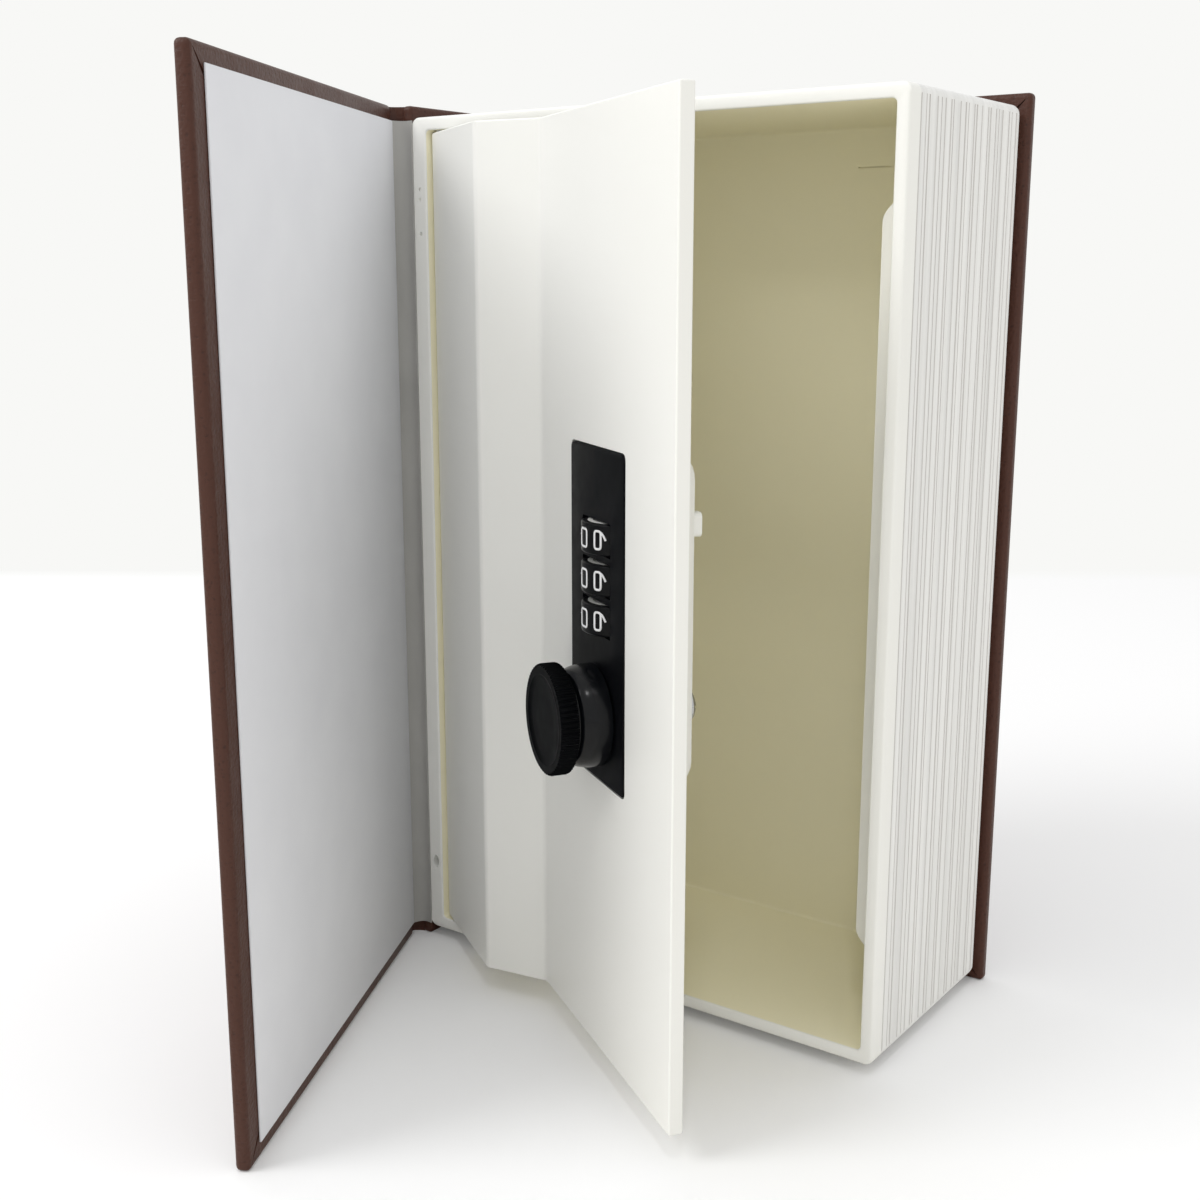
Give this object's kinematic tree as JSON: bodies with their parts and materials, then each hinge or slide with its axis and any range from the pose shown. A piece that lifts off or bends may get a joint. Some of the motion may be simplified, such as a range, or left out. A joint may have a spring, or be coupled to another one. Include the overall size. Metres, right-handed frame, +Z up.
{
  "type": "book diversion safe",
  "caption": "Hollow book-shaped safe with hinged cover, cranked inner door, number dials, turning knob and cam latch.",
  "frame": {"origin": "on the surface it stands on, at the middle of the back cover's lower edge in line with the middle of the page block", "axes": "+Z up along the spine, +X from the spine to the fore-edge, +Y out of the back cover"},
  "size_m": [0.1153, 0.1412, 0.1788],
  "materials": {
    "white_plastic": "moulded white plastic, satin gloss",
    "leatherette": "dark brown grained leatherette, semi-gloss",
    "grey_board": "raw grey binder's board",
    "endpaper": "pale smooth paper, matte",
    "lock_black": "gloss black lacquer on die-cast zinc",
    "chassis_black": "plain black moulding",
    "dial_black": "gloss black with printed pale digits",
    "steel": "bright zinc-plated steel"
  },
  "bodies": {
    "case": {"box_shell": "white_plastic", "case_wrap": "leatherette", "back_board": "grey_board", "spine_board": "grey_board", "hinge_pin_bottom": "steel", "hinge_pin_top": "steel", "joint_cloth": "leatherette", "joint_paper": "endpaper"},
    "cover": {"front_wrap": "leatherette", "front_board": "grey_board", "front_endpaper": "endpaper"},
    "door": {"door_panel": "white_plastic", "lock_faceplate": "lock_black", "lock_base": "chassis_black", "lock_back_cover": "white_plastic", "dial_shaft": "steel", "detent_spring": "steel", "fence_spring": "steel", "cover_screw_1": "steel", "cover_screw_2": "steel", "cover_screw_3": "steel", "cover_screw_4": "steel"},
    "fence": {"locking_fence": "steel"},
    "lever": {"code_lever": "white_plastic"},
    "dial_1": {"dial_wheel_1": "dial_black", "code_hub_1": "steel"},
    "dial_2": {"dial_wheel_2": "dial_black", "code_hub_2": "steel"},
    "dial_3": {"dial_wheel_3": "dial_black", "code_hub_3": "steel"},
    "knob": {"knob": "lock_black", "knob_spindle": "steel", "spindle_clip": "steel", "cam_latch": "steel", "cam_screw": "steel"}
  },
  "joints": [
    {"name": "cover_hinge", "type": "hinge", "parent": "case", "child": "cover", "pos_m": [-0.04975, -0.0384, 0], "axis": [0, 0, -1], "range_deg": [-64, 55], "deforming": ["joint_cloth", "joint_paper"]},
    {"name": "door_hinge", "type": "hinge", "parent": "case", "child": "door", "pos_m": [-0.04875, -0.049, 0.0894], "axis": [0, 0, -1], "range_deg": [-33, 28.36]},
    {"name": "knob_turn", "type": "hinge", "parent": "door", "child": "knob", "pos_m": [0.01186, -0.07906, 0.0697], "axis": [-0.5446, -0.8387, 0], "range_deg": [0, 90]},
    {"name": "fence_slide", "type": "slide", "parent": "door", "child": "fence", "axis": [0.8387, -0.5446, 0], "range_m": [0, 0.0012]},
    {"name": "code_lever_slide", "type": "slide", "parent": "door", "child": "lever", "axis": [0, 0, 1], "range_m": [0, 0.0026]},
    {"name": "dial_1_turn", "type": "hinge", "parent": "door", "child": "dial_1", "pos_m": [0.01431, -0.07528, 0.10156], "axis": [0, 0, 1], "continuous": true},
    {"name": "dial_2_turn", "type": "hinge", "parent": "door", "child": "dial_2", "pos_m": [0.01431, -0.07528, 0.09448], "axis": [0, 0, 1], "continuous": true},
    {"name": "dial_3_turn", "type": "hinge", "parent": "door", "child": "dial_3", "pos_m": [0.01431, -0.07528, 0.0874], "axis": [0, 0, 1], "continuous": true}
  ],
  "couplings": [
    {"joint": "door_hinge", "follows": "cover_hinge", "ratio": 0.51562},
    {"joint": "fence_slide", "follows": "knob_turn", "m_per_rad": 0.00076394}
  ]
}
